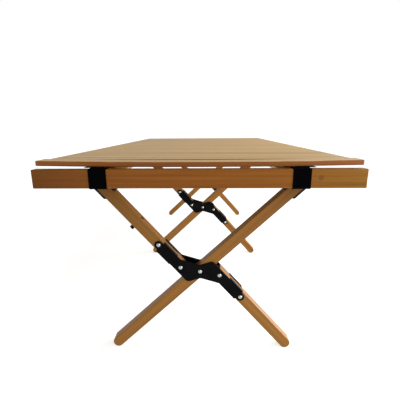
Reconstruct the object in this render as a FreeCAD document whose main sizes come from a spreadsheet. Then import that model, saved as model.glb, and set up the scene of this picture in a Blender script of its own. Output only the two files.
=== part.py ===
import FreeCAD, Part
import os

import Sketcher
from FreeCAD import Placement, Rotation, Vector

# Roll-top slatted camping table on three pivoted X-leg sets.
# Frame: millimetres, +X to the right, +Y to the rear, +Z up. The origin is on the floor
# under the middle of the table.

SIZES = {
    # slatted top
    "top_height": 429.0, "slat_length": 604.0, "slat_width": 37.0, "slat_thick": 9.6,
    "slat_pitch": 40.0, "first_gap": 6.0, "slat_count": 29, "slat_edge": 1.5,
    "slat_bow": 3.0, "bow_drop": 0.9, "top_length": 1160.0,
    # webbing under the slats and round the beams
    "strap_left": -184.0, "strap_right": 188.0, "strap_width": 33.0, "strap_thick": 1.0, "band_thick": 1.4,
    "keeper_width": 58.0, "keeper_thick": 0.8, "keeper_depth": 14.0,
    # end beams
    "beam_length": 612.0, "beam_high": 35.2, "beam_deep": 19.0, "beam_proud": 13.0,
    "beam_edge": 2.0, "plug_x": 222.0, "plug_radius": 5.0, "plug_deep": 3.0,
    # side rails
    "rail_side": 24.0, "rail_edge": 2.0, "rail_start": 564.0, "rail_split": 0.5,
    "dowel_radius": 4.0, "dowel_play": 0.05, "dowel_in": 14.0, "dowel_reach": 22.0,
    # X legs
    "leg_wide": 23.0, "leg_deep": 24.0, "leg_edge": 1.5, "foot_radius": 11.5,
    "pivot_x": 1.8, "pivot_height": 189.5, "through_angle": 43.35, "split_angle": 48.5,
    "half_offset": 25.3, "set_y": 529.5, "through_foot": 259.3,
    "through_rail": 279.79, "through_rail_off": 27.7,
    "split_foot": 260.05, "split_rail": 281.12, "split_rail_off": 2.5,
    "half_start": 24.0, "leg_top_at": 290.4,
    # steel fittings
    "plate_thick": 2.0, "plate_gap": 0.3, "rivet_in": 34.5, "rivet_out": 103.0,
    "rivet_radius": 2.5, "head_radius": 4.2, "head_high": 1.9, "tab_start": 57.0,
    "tab_end": 97.0, "tab_deep": 6.0, "tab_thick": 1.4, "pivot_radius": 3.0, "pivot_play": 0.05,
    "clevis_base": 3.0, "clevis_base_at": 293.0, "clevis_wall": 4.0, "clevis_gap": 0.3,
    "clevis_end": 246.0, "clevis_pin": 253.5, "clevis_pin_radius": 3.0, "nut_radius": 4.8,
    "nut_high": 4.0, "clevis_round": 5.0, "clevis_taper": 3.0,
    "bolt_s": 167.0, "bolt_radius": 3.8, "bolt_head": 9.0, "bolt_head_radius": 4.5,
}

doc = FreeCAD.newDocument("RollTopTable")
sheet = doc.addObject("Spreadsheet::Sheet", "sizes")
for row, (alias, value) in enumerate(SIZES.items(), start=1):
    sheet.set("A%d" % row, alias)
    sheet.set("B%d" % row, str(value))
    sheet.setAlias("B%d" % row, alias)
doc.recompute()

nodes = []


def size(alias):
    """Read one driving dimension from the sheet."""
    return float(getattr(sheet, alias))


def ref(text):
    """Write an expression: every word that names a dimension points at the sheet."""
    out = []
    word = ""
    for char in text + " ":
        if char.isalnum() or char == "_":
            word += char
            continue
        out.append("sizes." + word if word in SIZES else word)
        out.append(char)
        word = ""
    return "".join(out).strip()


def bind(obj, **links):
    """Bind properties to expressions; a double underscore stands for a dot."""
    for key, text in links.items():
        obj.setExpression(key.replace("__", "."), ref(text))
    return obj


def place(obj, x="0", y="0", z="0"):
    """Bind the position of an object."""
    return bind(obj, Placement__Base__x=x, Placement__Base__y=y, Placement__Base__z=z)


def node(obj, label):
    """Mark an object as one of the exported pieces."""
    obj.Label = label
    nodes.append(obj)
    return obj


def box(name, length, width, height, x, y, z):
    """A box bound to the sheet, placed by its lowest corner."""
    obj = doc.addObject("Part::Box", name)
    bind(obj, Length=length, Width=width, Height=height)
    return place(obj, x, y, z)


def rod(name, radius, height, x, y, z, axis):
    """A cylinder bound to the sheet that runs along +X, +Y or +Z from the given point."""
    obj = doc.addObject("Part::Cylinder", name)
    bind(obj, Radius=radius, Height=height)
    turns = {"x": Rotation(Vector(0, 1, 0), 90), "y": Rotation(Vector(1, 0, 0), -90), "z": Rotation()}
    obj.Placement = Placement(Vector(), turns[axis])
    return place(obj, x, y, z)


def dome(name, x, y, z, outward):
    """A low domed rivet head that stands on a face normal to Y."""
    obj = doc.addObject("Part::Sphere", name)
    bulge = "((head_radius ^ 2 + head_high ^ 2) / (2 * head_high))"
    bind(obj, Radius=bulge, Angle1="asin((%s - head_high) / %s)" % (bulge, bulge))
    obj.Placement = Placement(Vector(), Rotation(Vector(1, 0, 0), 90 if outward < 0 else -90))
    sign = "+" if outward < 0 else "-"
    return place(obj, x, "%s %s (%s - head_high)" % (y, sign, bulge), z)


def cut(name, base, tools):
    """Take the tools away from the base."""
    tool = tools[0]
    if len(tools) > 1:
        tool = doc.addObject("Part::MultiFuse", name + "_tools")
        tool.Shapes = tools
    obj = doc.addObject("Part::Cut", name)
    obj.Base = base
    obj.Tool = tool
    return obj


def group(name, members):
    """Several separate solids as one piece."""
    obj = doc.addObject("Part::Compound", name)
    obj.Links = members
    return obj


def rounded(name, base, radius, keep):
    """Round the straight edges of a solid that the test function picks."""
    doc.recompute()
    obj = doc.addObject("Part::Fillet", name)
    obj.Base = base
    picked = [i for i, edge in enumerate(base.Shape.Edges, start=1) if keep(edge)]
    obj.Edges = [(i, size(radius), size(radius)) for i in picked]
    return obj


def runs_along(axis):
    """A test for edges parallel to an axis."""
    def test(edge):
        return isinstance(edge.Curve, Part.Line) and abs(edge.Curve.Direction.dot(axis)) > 0.999
    return test


def leg_frame(obj, kind, set_y):
    """Put an object drawn along a leg onto the pivot of its X set."""
    angle = "-through_angle" if kind == "through" else "split_angle"
    value = -size("through_angle") if kind == "through" else size("split_angle")
    obj.Placement = Placement(Vector(), Rotation(Vector(0, 1, 0), value))
    place(obj, "pivot_x", set_y, "pivot_height")
    obj.setExpression("Placement.Rotation.Angle", ref("%s * 1 deg" % angle))
    return obj


X_AXIS = Vector(1, 0, 0)
Y_AXIS = Vector(0, 1, 0)

# ---------------------------------------------------------------- slatted top
slat_names = []
for index in range(int(size("slat_count"))):
    name = "slat_%02d" % (index + 1)
    start = "0" if index == 0 else "first_gap - (slat_pitch - slat_width) + %d * slat_pitch" % index
    near = "-top_length / 2 + %s" % start
    if index > 0:
        blank = box(name + "_blank", "slat_length", "slat_width", "slat_thick",
                    "-slat_length / 2", near, "top_height - slat_thick")
        node(rounded(name + "_body", blank, "slat_edge", runs_along(X_AXIS)), name)
        continue
    # the first slat is warped: its tips stand higher than its middle
    bend = "((slat_length / 2) ^ 2 / (2 * slat_bow))"
    middle = "top_height - bow_drop"
    blank = box(name + "_blank", "slat_length", "slat_width", "slat_thick + slat_bow + 2",
                "-slat_length / 2", near, middle + " - slat_thick - 1")
    centre = "%s + %s" % (middle, bend)
    under = rod(name + "_under", bend + " + slat_thick", "slat_width", "0", near, centre, "y")
    over = rod(name + "_over", bend, "slat_width + 2", "0", near + " - 1", centre, "y")
    shell = doc.addObject("Part::MultiCommon", name + "_shell")
    shell.Shapes = [blank, under]
    bent = cut(name + "_bent", shell, [over])
    long_edge = lambda edge: edge.Length > size("slat_length") * 0.9
    node(rounded(name + "_body", bent, "slat_edge", long_edge), name)

straps = []
for side in ("left", "right"):
    straps.append(box("strap_" + side + "_run", "strap_width", "top_length - 4", "strap_thick",
                      "strap_%s - strap_width / 2" % side, "-top_length / 2 + 2",
                      "top_height - slat_thick - strap_thick"))
node(group("straps", straps), "webbing_straps")

keeper_low = "top_height - slat_thick - strap_thick - keeper_thick"
keepers = []
for side in ("left", "right"):
    for end, start in (("front", "-top_length / 2 + 1"), ("rear", "top_length / 2 - 1 - keeper_depth")):
        keepers.append(box("keeper_%s_%s" % (end, side), "keeper_width", "keeper_depth", "keeper_thick",
                           "strap_%s - keeper_width / 2" % side, start, keeper_low))
node(group("keepers", keepers), "strap_keepers")

# ---------------------------------------------------------------- end beams
beam_top = "(%s - band_thick)" % keeper_low
beam_low = "(%s - beam_high)" % beam_top
plugs = []
for end, sign in (("front", -1), ("rear", 1)):
    near = "-top_length / 2 - beam_proud" if sign < 0 else "top_length / 2 + beam_proud - beam_deep"
    blank = box("beam_blank_" + end, "beam_length", "beam_deep", "beam_high",
                "-beam_length / 2", near, beam_low)
    soft = rounded("beam_soft_" + end, blank, "beam_edge", lambda edge: True)
    face = near if sign < 0 else "%s + beam_deep - plug_deep" % near
    holes = []
    for side, plus in (("left", "-"), ("right", "+")):
        holes.append(rod("plug_hole_%s_%s" % (end, side), "plug_radius", "plug_deep",
                         "%s plug_x" % plus, face, "%s + beam_high / 2 + 2" % beam_low, "y"))
        plugs.append(rod("plug_%s_%s" % (end, side), "plug_radius", "plug_deep",
                         "%s plug_x" % plus, face, "%s + beam_high / 2 + 2" % beam_low, "y"))
    rail_x = ("pivot_x + through_rail * cos(through_angle * 1 deg)"
              " - through_rail_off * sin(through_angle * 1 deg)")
    inner = "-rail_start - dowel_reach" if sign < 0 else "rail_start"
    rail_z = ("pivot_height + through_rail * sin(through_angle * 1 deg)"
              " + through_rail_off * cos(through_angle * 1 deg)")
    holes.append(rod("dowel_hole_" + end, "dowel_radius + dowel_play", "dowel_reach",
                     rail_x, inner, rail_z, "y"))
    node(cut("beam_" + end, soft, holes), end + "_beam")
    dowel_pass = rod("dowel_pass_" + end, "dowel_radius + dowel_play", "dowel_reach",
                     rail_x, inner, rail_z, "y")

    bands = []
    for side in ("left", "right"):
        outer = box("band_outer_%s_%s" % (end, side), "strap_width", "beam_deep + 2 * band_thick",
                    "beam_high + 2 * band_thick", "strap_%s - strap_width / 2" % side,
                    "%s - band_thick" % near, "%s - band_thick" % beam_low)
        outer = rounded("band_round_%s_%s" % (end, side), outer, "beam_edge", runs_along(X_AXIS))
        inside = box("band_inner_%s_%s" % (end, side), "strap_width + 2", "beam_deep", "beam_high",
                     "strap_%s - strap_width / 2 - 1" % side, near, beam_low)
        tools = [inside, dowel_pass] if side == "right" else [inside]
        bands.append(cut("band_%s_%s" % (end, side), outer, tools))
    node(group("bands_" + end, bands), end + "_bands")
node(group("plugs", plugs), "beam_plugs")

# ---------------------------------------------------------------- side rails
for side, kind, centre in (("right", "through", "through_rail"), ("left", "split", "-split_rail")):
    across = kind + "_rail_off"
    for end, start in (("front", "-rail_start"), ("rear", "rail_split")):
        blank = box("rail_blank_%s_%s" % (side, end), "rail_side", "rail_start - rail_split", "rail_side",
                    "%s - rail_side / 2" % centre, start, "%s - rail_side / 2" % across)
        rail = rounded("rail_soft_%s_%s" % (side, end), blank, "rail_edge", runs_along(Y_AXIS))
        if kind == "through":
            far = start if end == "front" else "rail_start - dowel_in"
            bore = rod("rail_bore_" + end, "dowel_radius", "dowel_in", centre, far, across, "y")
            rail = cut("rail_cut_" + end, rail, [bore])
        node(leg_frame(rail, kind, "0"), "%s_rail_%s" % (side, end))

dowels = []
for end, start in (("front", "-rail_start - dowel_reach"), ("rear", "rail_start - dowel_in")):
    dowels.append(rod("dowel_" + end, "dowel_radius", "dowel_reach + dowel_in", "through_rail", start,
                      "through_rail_off", "y"))
node(leg_frame(group("dowels", dowels), "through", "0"), "rail_dowels")

# ---------------------------------------------------------------- X legs


def value_of(text):
    """Evaluate a bound length at the present sizes."""
    return float(sheet.evalExpression(ref(text)))


def flat_sketch(body, name, depth="0"):
    """A sketch parallel to the leg's side, its X along the leg and its Y across it."""
    planes = {item.Role: item for item in body.Origin.OriginFeatures}
    sketch = body.newObject("Sketcher::SketchObject", name)
    sketch.AttachmentSupport = [(planes["XZ_Plane"], "")]
    sketch.MapMode = "FlatFace"
    bind(sketch, AttachmentOffset__Base__z=depth)
    return sketch


def pin_point(sketch, geometry, point, along, across, label):
    """Bind both coordinates of a sketch point to the sheet."""
    for kind, text, tag in (("DistanceX", along, "x"), ("DistanceY", across, "y")):
        number = sketch.addConstraint(Sketcher.Constraint(kind, -1, 1, geometry, point, value_of(text)))
        sketch.renameConstraint(number, label + tag)
        sketch.setExpression("Constraints." + label + tag, ref(text))


def outline(sketch, points, label="p"):
    """A closed outline of straight edges through bound points."""
    spots = [Vector(value_of(along), value_of(across), 0) for along, across in points]
    first = sketch.GeometryCount
    for i, spot in enumerate(spots):
        sketch.addGeometry(Part.LineSegment(spot, spots[(i + 1) % len(spots)]))
    for i in range(len(spots)):
        after = first + (i + 1) % len(spots)
        sketch.addConstraint(Sketcher.Constraint("Coincident", first + i, 2, after, 1))
    for i, (along, across) in enumerate(points):
        pin_point(sketch, first + i, 1, along, across, "%s%d" % (label, i))


def circles(sketch, spots):
    """Bound circles for rivet and pin holes."""
    for i, (along, across, radius) in enumerate(spots):
        centre = Vector(value_of(along), value_of(across), 0)
        sketch.addGeometry(Part.Circle(centre, Vector(0, 0, 1), value_of(radius)))
        pin_point(sketch, i, 3, along, across, "c%d" % i)
        number = sketch.addConstraint(Sketcher.Constraint("Radius", i, value_of(radius)))
        sketch.renameConstraint(number, "r%d" % i)
        sketch.setExpression("Constraints.r%d" % i, ref(radius))


def pad(body, name, sketch, length, side="Symmetric", back=False):
    """Pad a sketch by a bound length."""
    obj = body.newObject("PartDesign::Pad", name)
    obj.Profile = sketch
    obj.SideType = side
    obj.Reversed = back
    bind(obj, Length=length)
    doc.recompute()
    return obj


def pocket(body, name, sketch, length):
    """Cut a sketch both ways through the piece and check that it takes material away."""
    before = body.Shape.Volume
    obj = body.newObject("PartDesign::Pocket", name)
    obj.Profile = sketch
    obj.SideType = "Symmetric"
    bind(obj, Length=length)
    doc.recompute()
    if body.Shape.Volume >= before:
        raise RuntimeError(name + " cuts nothing")
    return obj


def fillet(body, name, radius, keep):
    """Round the edges of the body that the test function picks."""
    base = body.Tip
    picked = ["Edge%d" % i for i, edge in enumerate(base.Shape.Edges, start=1) if keep(edge)]
    obj = body.newObject("PartDesign::Fillet", name)
    obj.Base = (base, picked)
    bind(obj, Radius=radius)
    doc.recompute()
    return obj


def corner_at(along, across):
    """A test for the edge parallel to Y over one corner of an outline."""
    def test(edge):
        if not runs_along(Y_AXIS)(edge):
            return False
        point = edge.Vertexes[0].Point
        return abs(point.x - along) < 0.05 and abs(point.z - across) < 0.05
    return test


def leg_body(name, round_end, square_end, across, holes):
    """A leg with a half-round end, a square end, eased long edges and cross holes."""
    body = doc.addObject("PartDesign::Body", name + "_body")
    sketch = flat_sketch(body, name + "_outline")
    edges = ["%s - leg_wide / 2" % across, "%s + leg_wide / 2" % across]
    near_corners = [(round_end, edges[0]), (square_end, edges[0])]
    outline(sketch, near_corners + [(square_end, edges[1]), (round_end, edges[1])])
    pad(body, name + "_pad", sketch, "leg_deep")
    ends = [corner_at(value_of(round_end), value_of(edge)) for edge in edges]
    fillet(body, name + "_end", "foot_radius - 0.05", lambda edge: any(test(edge) for test in ends))
    fillet(body, name + "_edges", "leg_edge", runs_along(X_AXIS))
    if holes:
        bores = flat_sketch(body, name + "_bores")
        circles(bores, holes)
        pocket(body, name + "_drilled", bores, "leg_deep * 2")
    return body


def cross_bore(name, body, centre, across):
    """Drill a leg across its width for the clevis pin."""
    bore = rod(name + "_bore", "clevis_pin_radius", "leg_wide + 2", centre, "0",
               "%s - leg_wide / 2 - 1" % across, "z")
    return cut(name + "_cut", body, [bore])


BORE = "pivot_radius + pivot_play"
SETS = (("front", "-set_y"), ("middle", "0"), ("rear", "set_y"))
RIVETS = (("a", "-rivet_out", "-half_offset"), ("b", "-rivet_in", "-half_offset"),
          ("d", "rivet_in", "half_offset"), ("e", "rivet_out", "half_offset"))

for end, set_y in SETS:
    leg = leg_body("through_" + end, "-through_foot - foot_radius", "leg_top_at", "0",
                   [("0", "0", BORE)])
    leg = cross_bore("through_" + end, leg, "clevis_pin", "0")
    node(leg_frame(leg, "through", set_y), "through_leg_" + end)

    holes = [("-rivet_out", "-half_offset", "rivet_radius"), ("-rivet_in", "-half_offset", "rivet_radius")]
    leg = leg_body("upper_" + end, "-half_start", "-leg_top_at", "-half_offset", holes)
    leg = cross_bore("upper_" + end, leg, "-clevis_pin", "-half_offset")
    if end == "front":
        bore = rod("stay_bore", "bolt_radius", "leg_wide + 2", "-bolt_s", "0",
                   "-half_offset - leg_wide / 2 - 1", "z")
        leg = cut("upper_front_stay", leg, [bore])
    node(leg_frame(leg, "split", set_y), "upper_leg_" + end)

    holes = [("rivet_out", "half_offset", "rivet_radius"), ("rivet_in", "half_offset", "rivet_radius")]
    leg = leg_body("lower_" + end, "split_foot + foot_radius", "half_start", "half_offset", holes)
    node(leg_frame(leg, "split", set_y), "lower_leg_" + end)

# ---------------------------------------------------------------- Z-shaped hinge plates
# Half of the outline, from the upper rivet to the lower one: along the leg, across it,
# and the corner radius. The other half is the same turned half round the pivot.
PLATE = ((-111.5, -33.8, 8.4), (-98.0, -33.8, 0), (-97.0, -38.2, 0), (-57.0, -38.2, 0), (-56.0, -36.5, 0),
         (-0.3, -36.5, 11.0), (11.5, -9.6, 14.0), (47.3, 12.4, 6.0), (97.0, 12.4, 0), (98.0, 16.8, 0),
         (111.5, 16.8, 8.4))
PLATE_NAMES = ("tip", "neck", "fold_a", "fold_b", "edge", "lobe",
               "waist", "heel", "fold_c", "shoulder", "nose")
for label, (along, across, radius) in zip(PLATE_NAMES, PLATE):
    for tag, number in (("along", along), ("across", across), ("radius", radius)):
        row += 1
        alias = "plate_%s_%s" % (label, tag)
        SIZES[alias] = number
        sheet.set("A%d" % row, alias)
        sheet.set("B%d" % row, str(number))
        sheet.setAlias("B%d" % row, alias)
doc.recompute()


def plate_body(name, outward):
    """One steel plate of a pair, with two folded tabs on each half leg."""
    body = doc.addObject("PartDesign::Body", name)
    face = "(leg_deep / 2 + plate_gap + plate_thick)"
    depth = face if outward < 0 else "-" + face
    sketch = flat_sketch(body, name + "_outline", depth)
    points = [("plate_%s_along" % label, "plate_%s_across" % label) for label in PLATE_NAMES]
    points += [("-" + along, "-" + across) for along, across in points]
    outline(sketch, points)
    pad(body, name + "_pad", sketch, "plate_thick", "One side", outward < 0)
    for label in PLATE_NAMES:
        radius = "plate_%s_radius" % label
        if value_of(radius) > 0:
            spot = [value_of("plate_%s_%s" % (label, tag)) for tag in ("along", "across")]
            tests = [corner_at(spot[0], spot[1]), corner_at(-spot[0], -spot[1])]
            fillet(body, "%s_%s" % (name, label), radius, lambda edge: any(test(edge) for test in tests))
    tabs = flat_sketch(body, name + "_tabs", depth)
    count = 0
    for sign in ("", "-"):
        for near in ("half_offset + leg_wide / 2", "half_offset - leg_wide / 2 - tab_thick"):
            far = "%s(%s + tab_thick)" % (sign, near)
            near = "%s(%s)" % (sign, near)
            corners = [(sign + "tab_start", near), (sign + "tab_end", near),
                       (sign + "tab_end", far), (sign + "tab_start", far)]
            outline(tabs, corners, "t%d" % count)
            count += 1
    pad(body, name + "_folds", tabs, "plate_thick + tab_deep", "One side", outward < 0)
    bores = flat_sketch(body, name + "_bores")
    rivet_bores = [(along, across, "rivet_radius") for _, along, across in RIVETS]
    circles(bores, [("0", "0", "pivot_radius")] + rivet_bores)
    pocket(body, name + "_drilled", bores, "leg_deep * 2")
    return body


def riveted(name, along, across, set_y, radius):
    """A rivet through both plates with a low dome on each side."""
    face = "(leg_deep / 2 + plate_gap + plate_thick)"
    shank = rod(name + "_shank", radius, "2 * %s" % face, along, "%s - %s" % (set_y, face), across, "y")
    front = dome(name + "_front", along, "%s - %s" % (set_y, face), across, -1)
    back = dome(name + "_back", along, "%s + %s" % (set_y, face), across, 1)
    rivet = doc.addObject("Part::MultiFuse", name)
    rivet.Shapes = [shank, front, back]
    return rivet


rivets = []
pivots = []
for end, set_y in SETS:
    pair = [plate_body("plate_%s_outer" % end, -1), plate_body("plate_%s_inner" % end, 1)]
    node(leg_frame(group("plates_" + end, pair), "split", set_y), "hinge_plates_" + end)
    pivots.append(riveted("pivot_" + end, "0", "0", set_y, "pivot_radius"))
    for label, along, across in RIVETS:
        rivets.append(riveted("rivet_%s_%s" % (end, label), along, across, set_y, "rivet_radius"))
node(leg_frame(group("pivots", pivots), "split", "0"), "pivot_pins")
node(leg_frame(group("rivets", rivets), "split", "0"), "leg_rivets")

# ---------------------------------------------------------------- leg-top clevises
# Each clevis is a steel U over the end of a leg, its inner wall against the side of the rail.
# The cross pin runs across the leg, in the plane of the X set.
for side, kind in (("right", "through"), ("left", "split")):
    across = "0" if kind == "through" else "-half_offset"
    outer = "(leg_wide / 2 + clevis_gap + clevis_wall)"
    inner = "(%s_rail_off - rail_side / 2 - %s)" % (kind, across)
    clevises = []
    pins = []
    for end, set_y in SETS:
        name = "clevis_%s_%s" % (side, end)
        far = "clevis_base_at + clevis_base"
        low = "clevis_end" if kind == "through" else "-(%s)" % far
        blank = box(name + "_blank", "%s - clevis_end" % far, "leg_deep", "%s + %s" % (outer, inner),
                    low, "%s - leg_deep / 2" % set_y, "%s - %s" % (across, outer))
        doc.recompute()
        tip = value_of("clevis_end" if kind == "through" else "-clevis_end")
        edge_low = value_of("%s - %s" % (across, outer))

        def at_tip(edge, tip=tip):
            return runs_along(Vector(0, 0, 1))(edge) and abs(edge.Vertexes[0].Point.x - tip) < 0.05

        def outer_tip(edge, tip=tip, edge_low=edge_low):
            point = edge.Vertexes[0].Point
            return runs_along(Y_AXIS)(edge) and abs(point.x - tip) < 0.05 and abs(point.z - edge_low) < 0.05

        eased = rounded(name + "_eased", blank, "clevis_round", at_tip)
        eased = rounded(name + "_taper", eased, "clevis_taper", outer_tip)
        low = "clevis_end - 1" if kind == "through" else "-clevis_base_at"
        slot = box(name + "_slot", "clevis_base_at - clevis_end + 1", "leg_deep + 2",
                   "leg_wide + 2 * clevis_gap", low, "%s - leg_deep / 2 - 1" % set_y,
                   "%s - leg_wide / 2 - clevis_gap" % across)
        centre = "clevis_pin" if kind == "through" else "-clevis_pin"
        bore = rod(name + "_bore", "clevis_pin_radius", "%s + %s + 2" % (outer, inner), centre, set_y,
                   "%s - %s - 1" % (across, outer), "z")
        clevises.append(cut(name, eased, [slot, bore]))
        shank = rod("pin_shank_%s_%s" % (side, end), "clevis_pin_radius", "%s + %s" % (outer, inner), centre,
                    set_y, "%s - %s" % (across, outer), "z")
        upper = rod("pin_upper_%s_%s" % (side, end), "nut_radius", "nut_high", centre, set_y,
                    "%s + %s" % (across, inner), "z")
        lower = rod("pin_lower_%s_%s" % (side, end), "nut_radius", "nut_high / 2", centre, set_y,
                    "%s - %s - nut_high / 2" % (across, outer), "z")
        pin = doc.addObject("Part::MultiFuse", "pin_%s_%s" % (side, end))
        pin.Shapes = [shank, lower, upper]
        pins.append(pin)
    node(leg_frame(group("clevises_" + side, clevises), kind, "0"), side + "_clevises")
    node(leg_frame(group("pins_" + side, pins), kind, "0"), side + "_clevis_pins")

# ---------------------------------------------------------------- stay bolt of the front left leg
shank = rod("stay_shank", "bolt_radius", "leg_wide", "-bolt_s", "-set_y", "-half_offset - leg_wide / 2", "z")
head = rod("stay_head", "bolt_head_radius", "bolt_head", "-bolt_s", "-set_y",
           "-half_offset - leg_wide / 2 - bolt_head", "z")
bolt = doc.addObject("Part::MultiFuse", "stay")
bolt.Shapes = [shank, head]
node(leg_frame(bolt, "split", "0"), "stay_bolt")

# ---------------------------------------------------------------- checks and export
doc.recompute()
for obj in doc.Objects:
    if "Invalid" in obj.State or "Error" in obj.State:
        raise RuntimeError("%s is %s" % (obj.Name, obj.State))
os.makedirs("parts", exist_ok=True)
for obj in nodes:
    shape = obj.Shape
    if shape.isNull() or not shape.isValid() or not shape.Solids:
        raise RuntimeError("%s has no valid solid" % obj.Label)
for obj in nodes:
    obj.Shape.exportStep("parts/%s.step" % obj.Label)
    print("%-22s solids %2d volume %10.1f" % (obj.Label, len(obj.Shape.Solids), obj.Shape.Volume))
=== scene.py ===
import math

import bmesh
import bpy
from mathutils import Matrix, Vector


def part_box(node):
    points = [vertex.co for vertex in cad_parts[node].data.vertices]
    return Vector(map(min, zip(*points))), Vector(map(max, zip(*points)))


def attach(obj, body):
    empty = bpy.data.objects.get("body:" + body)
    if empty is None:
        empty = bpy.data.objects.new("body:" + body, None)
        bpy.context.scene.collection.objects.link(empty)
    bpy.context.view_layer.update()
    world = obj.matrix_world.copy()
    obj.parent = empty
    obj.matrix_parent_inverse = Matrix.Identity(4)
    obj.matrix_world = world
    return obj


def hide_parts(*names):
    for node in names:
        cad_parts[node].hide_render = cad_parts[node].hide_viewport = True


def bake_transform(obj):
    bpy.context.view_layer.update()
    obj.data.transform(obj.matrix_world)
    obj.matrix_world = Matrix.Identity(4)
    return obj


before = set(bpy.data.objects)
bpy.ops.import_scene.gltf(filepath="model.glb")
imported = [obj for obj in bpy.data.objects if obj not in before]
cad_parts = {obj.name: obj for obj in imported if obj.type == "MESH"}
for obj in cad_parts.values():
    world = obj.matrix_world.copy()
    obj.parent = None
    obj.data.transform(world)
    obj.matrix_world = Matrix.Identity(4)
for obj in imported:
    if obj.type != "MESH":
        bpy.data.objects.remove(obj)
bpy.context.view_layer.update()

# ---------------------------------------- the table's own sizes, in metres
SLATS = sorted(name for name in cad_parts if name.startswith("slat_"))
LENGTH = 1.160
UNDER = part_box("slat_02")[0][2]
STRAP_X = (-0.184, 0.188)
STRAP_HALF = 0.0165
STRAP_THICK = 0.0010
STRAP_EMBED = 0.00005
SELVEDGE_SPAN = (0.86, 0.99)
SOFT_CORNER = 0.00035
COLUMNS = [-1.0, -0.97, -0.88, -0.5, 0.0, 0.5, 0.88, 0.97, 1.0]
BAND_THICK = 0.0014
BAND_CORNER = 0.0034
CORNER_STEPS = 6
THROUGH_ANGLE = math.radians(43.35)
SPLIT_ANGLE = math.radians(48.5)
LENS = 27.0
CAMERA_PLACE = (0.0149, -1.131, 0.4906)
CAMERA_TURN = (0.021, 0.239, -0.006)


# ---------------------------------------- node helpers
class Nodes:
    """Shorthand for building one material's node tree."""

    def __init__(self, name):
        self.material = bpy.data.materials.new(name)
        self.material.use_nodes = True
        self.tree = self.material.node_tree
        self.shader = self.tree.nodes["Principled BSDF"]

    def add(self, kind, inputs=None, **settings):
        node = self.tree.nodes.new(kind)
        for key, value in settings.items():
            setattr(node, key, value)
        for key, value in (inputs or {}).items():
            if isinstance(value, bpy.types.NodeSocket):
                self.tree.links.new(value, node.inputs[key])
            else:
                node.inputs[key].default_value = value
        return node

    def math(self, operation, a, b=0.0):
        return self.add("ShaderNodeMath", {0: a, 1: b}, operation=operation).outputs[0]

    def plus(self, a, b):
        return self.add("ShaderNodeVectorMath", {0: a, 1: b}, operation="ADD").outputs[0]

    def ramp(self, fac, stops):
        node = self.add("ShaderNodeValToRGB", {"Fac": fac})
        ramp = node.color_ramp
        while len(ramp.elements) < len(stops):
            ramp.elements.new(0.5)
        for element, (place, color) in zip(ramp.elements, stops):
            element.position = place
            element.color = (*color, 1.0) if len(color) == 3 else color
        return node.outputs["Color"]

    def grey(self, fac, low, high, a=0.0, b=1.0):
        node = self.add("ShaderNodeMapRange", {"Value": fac, "From Min": a, "From Max": b,
                                               "To Min": low, "To Max": high})
        return node.outputs["Result"]

    def mix(self, fac, a, b, blend="MIX"):
        node = self.add("ShaderNodeMix", data_type="RGBA", blend_type=blend)
        for key, value in ((0, fac), (6, a), (7, b)):
            if isinstance(value, bpy.types.NodeSocket):
                self.tree.links.new(value, node.inputs[key])
            elif key == 0:
                node.inputs[key].default_value = value
            else:
                node.inputs[key].default_value = (*value, 1.0)
        return node.outputs[2]

    def noise(self, vector, scale, detail=3.0, rough=0.55, distortion=0.0):
        node = self.add("ShaderNodeTexNoise", {"Vector": vector, "Scale": scale, "Detail": detail,
                                               "Roughness": rough, "Distortion": distortion})
        return node.outputs["Fac"]

    def coords(self, rotation=(0, 0, 0), scale=(1, 1, 1), source=None):
        if source is None:
            source = self.add("ShaderNodeTexCoord").outputs["Object"]
        node = self.add("ShaderNodeMapping", {"Vector": source, "Rotation": rotation, "Scale": scale})
        return node.outputs["Vector"]

    def bump(self, height, strength, distance):
        node = self.add("ShaderNodeBump", {"Height": height, "Strength": strength,
                                           "Distance": distance})
        self.tree.links.new(node.outputs["Normal"], self.shader.inputs["Normal"])
        return node

    def link(self, value, socket):
        self.tree.links.new(value, self.shader.inputs[socket])

    def set(self, **values):
        for key, value in values.items():
            self.shader.inputs[key.replace("_", " ")].default_value = value


def rgb(r, g, b):
    """An 8-bit colour as linear values."""
    out = []
    for value in (r, g, b):
        value /= 255.0
        out.append(value / 12.92 if value <= 0.04045 else ((value + 0.055) / 1.055) ** 2.4)
    return tuple(out)


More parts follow.
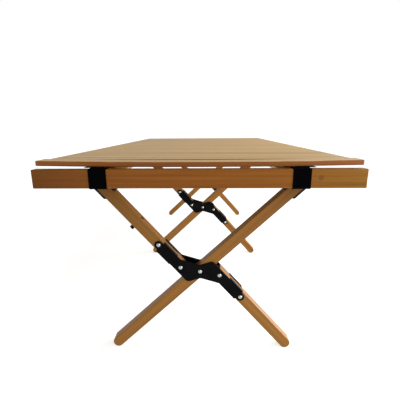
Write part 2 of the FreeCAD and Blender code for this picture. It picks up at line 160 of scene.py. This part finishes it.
# ---------------------------------------- materials
def wood(name, light, middle, dark, turn=(0, 0, 0), seed=0.0, slats=False,
         side_tint=None, fade=None, rough=0.42, gloss=0.3):
    """Varnished beech with its grain along local X: streaks, short flecks, end grain on the cut ends.

    The slats each take a tone and a grain of their own, side_tint colours their narrow sides, and fade
    gives stops of painted light and shade along the grain (place in metres, colour)."""
    n = Nodes(name)
    local = n.coords(rotation=turn)
    normal = n.add("ShaderNodeTexCoord").outputs["Normal"]
    facing = n.add("ShaderNodeSeparateXYZ", {0: n.coords(rotation=turn, source=normal)})
    end = n.grey(n.math("ABSOLUTE", facing.outputs["X"]), 0.0, 1.0, 0.80, 0.95)
    if slats:
        split = n.add("ShaderNodeSeparateXYZ", {0: local})
        row = n.math("FLOOR", n.math("MULTIPLY", n.math("ADD", split.outputs["Y"], 0.5755), 25.0))
        own = n.add("ShaderNodeTexWhiteNoise", {"W": row}, noise_dimensions="1D").outputs["Value"]
        shift = n.add("ShaderNodeCombineXYZ", {"X": n.math("MULTIPLY", own, 3.7), "Z": own})
        local = n.plus(local, shift.outputs[0])
    moved = n.plus(local, (seed, seed * 1.7, seed * 0.6))
    warp = n.noise(n.coords(scale=(1.4, 9, 9), source=moved), 1.0, 2.0)
    streak = n.noise(n.coords(scale=(2.6, 150, 150), source=moved), 1.0, 5.0, 0.60, 0.3)
    fine = n.noise(n.coords(scale=(14, 1100, 1100), source=moved), 1.0, 3.0, 0.6)
    broad = n.coords(scale=(0.35, 34, 34), source=moved)
    rings = n.add("ShaderNodeTexWave", {"Vector": broad, "Scale": 1.0, "Distortion": 4.0,
                                        "Detail": 3.0, "Detail Scale": 1.2},
                  wave_type="BANDS", bands_direction="Y", wave_profile="SIN").outputs["Fac"]
    body = n.math("ADD", n.math("MULTIPLY", streak, 0.62), n.math("MULTIPLY", rings, 0.14))
    body = n.math("ADD", body, n.math("MULTIPLY", warp, 0.32))
    color = n.ramp(body, [(0.36, dark), (0.54, middle), (0.74, light)])
    cells = n.coords(scale=(60, 620, 620), source=moved)
    pores = n.add("ShaderNodeTexVoronoi", {"Vector": cells, "Scale": 1.0,
                                           "Randomness": 1.0}).outputs["Distance"]
    fleck = n.grey(pores, 1.0, 0.0, 0.05, 0.20)
    color = n.mix(n.math("MULTIPLY", fleck, 0.28), color, tuple(c * 0.45 for c in dark))
    color = n.mix(n.grey(fine, 0.0, 0.22, 0.45, 0.75), color, tuple(c * 0.66 for c in middle))
    if slats:
        tone = n.ramp(own, [(0.0, (0.90, 0.87, 0.82)), (0.5, (1.0, 0.99, 0.97)),
                            (1.0, (1.10, 1.09, 1.05))])
        color = n.mix(1.0, color, tone, "MULTIPLY")
    if side_tint:
        side = n.grey(n.math("ABSOLUTE", facing.outputs["Y"]), 0.0, 1.0, 0.45, 0.75)
        color = n.mix(side, color, n.mix(1.0, color, side_tint, "MULTIPLY"))
    # fade multiplies the colour along the grain by its stops: painted light and shade laid into the
    # wood
    if fade:
        first, last = fade[0][0], fade[-1][0]
        along = n.add("ShaderNodeSeparateXYZ", {0: n.coords(rotation=turn)}).outputs["X"]
        stops = [((place - first) / (last - first), tone) for place, tone in fade]
        color = n.mix(1.0, color, n.ramp(n.grey(along, 0.0, 1.0, first, last), stops), "MULTIPLY")
    section = n.coords(scale=(0, 260, 300), source=moved)
    growth = n.add("ShaderNodeTexWave", {"Vector": section, "Scale": 1.0,
                                         "Distortion": 2.5, "Detail": 2.0},
                   wave_type="BANDS", bands_direction="DIAGONAL").outputs["Fac"]
    cut = n.ramp(growth, [(0.0, tuple(c * 0.50 for c in dark)), (1.0, tuple(c * 0.80 for c in middle))])
    color = n.mix(end, color, cut)
    n.link(color, "Base Color")
    n.link(n.grey(streak, rough - 0.06, rough + 0.10, 0.3, 0.7), "Roughness")
    relief = n.math("ADD", n.math("MULTIPLY", fine, 0.5), n.math("MULTIPLY", fleck, -0.6))
    n.bump(relief, 0.18, 0.0003)
    n.set(Specular_IOR_Level=gloss)
    return n.material


def black_steel():
    """Satin powder coat: near black, a fine orange peel, rubbed slightly brighter along the edges."""
    n = Nodes("black_powder_coat")
    local = n.coords()
    peel = n.noise(local, 1400.0, 2.0)
    cloud = n.noise(local, 30.0, 3.0)
    edge = n.add("ShaderNodeNewGeometry").outputs["Pointiness"]
    rub = n.math("MULTIPLY", n.grey(edge, 0.0, 1.0, 0.60, 0.72), n.grey(cloud, 0.0, 0.6, 0.4, 0.7))
    color = n.mix(cloud, rgb(3, 3, 4), rgb(6, 6, 8))
    color = n.mix(rub, color, rgb(34, 34, 38))
    n.link(color, "Base Color")
    n.link(n.grey(peel, 0.44, 0.52), "Roughness")
    n.bump(peel, 0.10, 0.00012)
    n.set(Metallic=0.0, Specular_IOR_Level=0.04)
    return n.material


def zinc():
    """Plated rivet: bright, slightly brushed round, with a faint green-grey cast."""
    n = Nodes("plated_rivet")
    local = n.coords()
    brush = n.noise(n.coords(scale=(900, 60, 900), source=local), 1.0, 3.0)
    cloud = n.noise(local, 220.0, 3.0)
    n.link(n.mix(cloud, rgb(142, 152, 146), rgb(190, 198, 192)), "Base Color")
    n.link(n.grey(brush, 0.30, 0.46), "Roughness")
    n.bump(brush, 0.10, 0.0001)
    n.set(Metallic=1.0)
    return n.material


def webbing(name):
    """Black woven strap: a fine rib across, a herringbone along, a matt sheen."""
    n = Nodes(name)
    local = n.coords()
    split = n.add("ShaderNodeSeparateXYZ", {0: local})
    along = n.math("ADD", split.outputs["Y"], split.outputs["Z"])
    across = split.outputs["X"]
    rib = n.math("SINE", n.math("MULTIPLY", along, 2 * math.pi / 0.0016))
    warp = n.math("SINE", n.math("MULTIPLY", across, 2 * math.pi / 0.0022))
    slant = n.math("SINE", n.math("ADD", n.math("MULTIPLY", across, 2 * math.pi / 0.0044),
                                  n.math("MULTIPLY", along, 2 * math.pi / 0.0032)))
    crossed = n.math("MULTIPLY", n.math("MULTIPLY", rib, warp), 0.5)
    weave = n.math("ADD", crossed, n.math("MULTIPLY", slant, 0.35))
    cloud = n.noise(local, 60.0, 3.0)
    shade = n.math("ADD", n.grey(weave, 0.25, 0.75, -1.0, 1.0), n.math("MULTIPLY", cloud, 0.3))
    n.link(n.ramp(shade, [(0.2, rgb(1, 1, 1)), (0.6, rgb(2, 2, 3)), (1.0, rgb(7, 7, 9))]), "Base Color")
    n.link(n.grey(weave, 0.66, 0.84, -1.0, 1.0), "Roughness")
    n.bump(weave, 0.5, 0.0003)
    n.set(Specular_IOR_Level=0.01)
    return n.material


ACROSS = math.pi / 2
SLAT = wood("slat_beech", rgb(168, 134, 60), rgb(154, 119, 48), rgb(132, 96, 36), slats=True,
            side_tint=(0.70, 0.37, 0.13), rough=0.42, gloss=0.25)
# The beam's fade is painted light and shade: the left end darkened as painted shade, the right end
# lightened and yellowed as painted light from the lamps on the right.
BEAM = wood("beam_beech", rgb(132, 82, 28), rgb(120, 70, 20), rgb(100, 55, 14), seed=0.31, gloss=0.10,
            fade=[(-0.30, (0.60, 0.58, 0.50)), (-0.12, (1.0, 1.0, 1.0)),
                  (0.12, (1.0, 1.0, 1.0)), (0.30, (1.0, 1.32, 1.25))])
RAIL = wood("rail_beech", rgb(140, 98, 44), rgb(126, 84, 34), rgb(106, 66, 24),
            turn=(0, 0, ACROSS), seed=0.83, gloss=0.15)
# The fade on the through leg is painted shade: darker towards its upper end, a painted shadow of the
# table top.
LEG_T = wood("leg_beech_through_painted_shade", rgb(144, 100, 42), rgb(130, 86, 32), rgb(108, 68, 22),
             turn=(0, THROUGH_ANGLE, 0), seed=0.57, gloss=0.15,
             fade=[(0.14, (0.95, 0.95, 0.95)), (0.42, (0.58, 0.52, 0.50))])
# The fade on the split leg is painted shade: darker towards its upper end, a painted shadow of the
# table top.
LEG_S = wood("leg_beech_split_painted_shade", rgb(144, 100, 42), rgb(130, 86, 32), rgb(108, 68, 22),
             turn=(0, -SPLIT_ANGLE, 0), seed=0.12, gloss=0.15,
             fade=[(-0.42, (0.60, 0.58, 0.50)), (-0.14, (0.95, 0.95, 0.95))])
PLUG = wood("plug_wood", rgb(140, 90, 36), rgb(128, 80, 30), rgb(124, 76, 28),
            turn=(0, 0, ACROSS), seed=0.44, gloss=0.10)
STEEL = black_steel()
ZINC = zinc()
WEB = webbing("black_webbing")


def dress(name, material):
    """Give a carried-over CAD piece its finished material."""
    obj = bpy.data.objects[name]
    for slot in obj.material_slots:
        slot.material = material
    if not obj.material_slots:
        obj.data.materials.append(material)


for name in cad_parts:
    if name.startswith("slat_"):
        dress(name, SLAT)
    elif name.endswith("_beam"):
        dress(name, BEAM)
    elif name == "beam_plugs":
        dress(name, PLUG)
    elif "_rail_" in name:
        dress(name, RAIL)
    elif name.startswith("through_leg"):
        dress(name, LEG_T)
    elif "_leg_" in name:
        dress(name, LEG_S)
    elif name in ("pivot_pins", "leg_rivets", "rail_dowels"):
        dress(name, ZINC)
    elif name in ("webbing_straps", "front_bands", "rear_bands"):
        dress(name, WEB)
    else:
        dress(name, STEEL)


# ---------------------------------------- floor, light and camera
def sun(name, toward, strength, softness):
    """A soft sun lamp that shines from the direction given."""
    light = bpy.data.lights.new(name, "SUN")
    light.energy = strength
    light.angle = math.radians(softness)
    lamp = bpy.data.objects.new(name, light)
    bpy.context.scene.collection.objects.link(lamp)
    lamp.rotation_euler = Vector(toward).to_track_quat("Z", "Y").to_euler()


def softbox(name, place, aim, size, power):
    """A square area lamp that points at aim."""
    light = bpy.data.lights.new(name, "AREA")
    light.size = size
    light.energy = power
    lamp = bpy.data.objects.new(name, light)
    bpy.context.scene.collection.objects.link(lamp)
    lamp.location = place
    lamp.rotation_euler = (Vector(aim) - Vector(place)).to_track_quat("-Z", "Y").to_euler()


def studio():
    """A pale floor that glows faintly, a bright horizon, a soft key and four softboxes."""
    mesh = bpy.data.meshes.new("floor")
    bm = bmesh.new()
    bmesh.ops.create_grid(bm, x_segments=1, y_segments=1, size=60.0)
    bm.to_mesh(mesh)
    bm.free()
    floor = bpy.data.objects.new("floor", mesh)
    bpy.context.scene.collection.objects.link(floor)
    n = Nodes("studio_floor")
    cloud = n.noise(n.coords(), 3.0, 2.0)
    n.link(n.mix(cloud, (0.40, 0.40, 0.40), (0.42, 0.42, 0.42)), "Base Color")
    n.shader.inputs["Emission Color"].default_value = (1.0, 1.0, 1.0, 1.0)
    n.set(Roughness=0.9, Specular_IOR_Level=0.05, Emission_Strength=0.72)
    mesh.materials.append(n.material)

    world = bpy.data.worlds.new("studio")
    bpy.context.scene.world = world
    world.use_nodes = True
    tree = world.node_tree
    sky = tree.nodes["Background"]
    sky.inputs["Color"].default_value = (1.0, 1.0, 1.0, 1.0)
    direction = tree.nodes.new("ShaderNodeTexCoord")
    split = tree.nodes.new("ShaderNodeSeparateXYZ")
    fade = tree.nodes.new("ShaderNodeMapRange")
    fade.interpolation_type = "SMOOTHSTEP"
    for key, value in (("From Min", 0.38), ("From Max", 0.80), ("To Min", 1.0), ("To Max", 0.30)):
        fade.inputs[key].default_value = value
    tree.links.new(direction.outputs["Generated"], split.inputs[0])
    tree.links.new(split.outputs["Z"], fade.inputs["Value"])
    tree.links.new(fade.outputs["Result"], sky.inputs["Strength"])

    sun("key", (0.70, 0.25, 0.80), 1.6, 40)
    softbox("right", (1.4, -0.6, 0.34), (0.0, -0.5, 0.20), 0.7, 14)
    softbox("over", (0.95, 0.10, 0.95), (0.25, 0.0, 0.43), 0.6, 8)
    softbox("side", (1.3, 0.20, 0.24), (0.0, -0.5, 0.24), 0.45, 20)
    softbox("front", (0.9, -1.35, 0.75), (0.0, -0.6, 0.35), 0.6, 7)


def camera():
    """The view from the front end, a little above the top, looking slightly down."""
    data = bpy.data.cameras.new("camera")
    data.sensor_width = 36.0
    data.lens = LENS
    data.clip_end = 100.0
    obj = bpy.data.objects.new("camera", data)
    bpy.context.scene.collection.objects.link(obj)
    yaw, pitch, roll = CAMERA_TURN
    turn = (Matrix.Rotation(yaw, 4, "Z") @ Matrix.Rotation(math.pi / 2 - pitch, 4, "X")
            @ Matrix.Rotation(roll, 4, "Z"))
    obj.matrix_world = Matrix.Translation(CAMERA_PLACE) @ turn
    bpy.context.scene.camera = obj


studio()
camera()
bpy.context.scene.view_settings.view_transform = "Standard"

# ---------------------------------------- the straps under the slats


def edge_of(column, selvedge):
    """Extra thickness at the woven edge, and how far the outermost corners draw in."""
    ridge = selvedge if SELVEDGE_SPAN[0] < abs(column) < SELVEDGE_SPAN[1] else 0.0
    return ridge, SOFT_CORNER if abs(column) == 1.0 else 0.0


def skin(bm, a, b):
    """Faces between two neighbouring rings."""
    for i in range(len(a)):
        j = (i + 1) % len(a)
        bm.faces.new((a[i], a[j], b[j], b[i]))


def webbing_object(name, bm):
    """Turn the finished surface into an object of black webbing."""
    bmesh.ops.recalc_face_normals(bm, faces=bm.faces)
    mesh = bpy.data.meshes.new(name)
    bm.to_mesh(mesh)
    bm.free()
    mesh.materials.append(WEB)
    obj = bpy.data.objects.new(name, mesh)
    bpy.context.scene.collection.objects.link(obj)
    return obj


def strap_strip(name, y0, y1, steps):
    """Two flat straps side by side between two rows, thicker at the selvedges."""
    bm = bmesh.new()
    for middle in STRAP_X:
        rows = []
        for i in range(steps + 1):
            y = y0 + (y1 - y0) * i / steps
            ring = []
            for face in (0, 1):
                for c in (COLUMNS if face == 0 else COLUMNS[::-1]):
                    ridge, corner = edge_of(c, 0.00016)
                    if face == 0:
                        z = UNDER - STRAP_EMBED - corner
                    else:
                        z = UNDER - STRAP_THICK - ridge + corner
                    ring.append(bm.verts.new((middle + c * STRAP_HALF, y, z)))
            rows.append(ring)
        for a, b in zip(rows, rows[1:]):
            skin(bm, a, b)
        bm.faces.new(rows[0][::-1])
        bm.faces.new(rows[-1])
    return webbing_object(name, bm)


def straps():
    """One stretch of strap over each joint between two slats."""
    rows = [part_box(name) for name in SLATS]
    middles = [(low[1] + high[1]) / 2 for low, high in rows]
    middles[0] = -LENGTH / 2 + 0.002
    middles[-1] = LENGTH / 2 - 0.002
    for i in range(len(SLATS) - 1):
        piece = strap_strip("strap_stretch_%02d" % (i + 1), middles[i], middles[i + 1], 12)
        if i == 0:
            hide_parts("webbing_straps")
        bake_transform(piece)


straps()

# ---------------------------------------- the webbing loops round the end beams


def loop_path(low, high):
    """Points and outward directions round a rectangle with rounded corners, in the Y-Z plane."""
    path = []
    corners = ((high[1], high[2], 0), (low[1], high[2], 1), (low[1], low[2], 2), (high[1], low[2], 3))
    for y, z, quarter in corners:
        middle_y = y - math.copysign(BAND_CORNER, y - (low[1] + high[1]) / 2)
        middle_z = z - math.copysign(BAND_CORNER, z - (low[2] + high[2]) / 2)
        for step in range(CORNER_STEPS + 1):
            angle = (quarter + step / CORNER_STEPS) * math.pi / 2
            out = (math.cos(angle), math.sin(angle))
            path.append((middle_y + BAND_CORNER * out[0], middle_z + BAND_CORNER * out[1], out))
    return path


def band_loops(node):
    """Two loops of webbing with thicker selvedges, one over each strap."""
    bm = bmesh.new()
    for middle in STRAP_X:
        rows = []
        for y, z, out in loop_path(*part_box(node)):
            ring = []
            for face in (0, 1):
                for c in (COLUMNS if face == 0 else COLUMNS[::-1]):
                    ridge, corner = edge_of(c, 0.00012)
                    depth = corner - ridge if face == 0 else BAND_THICK - corner
                    x = middle + c * STRAP_HALF
                    ring.append(bm.verts.new((x, y - depth * out[0], z - depth * out[1])))
            rows.append(ring)
        for a, b in zip(rows, rows[1:] + rows[:1]):
            skin(bm, a, b)
    obj = webbing_object(node.replace("bands", "band_loops"), bm)
    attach(obj, "top")
    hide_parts(node)


band_loops("front_bands")
band_loops("rear_bands")
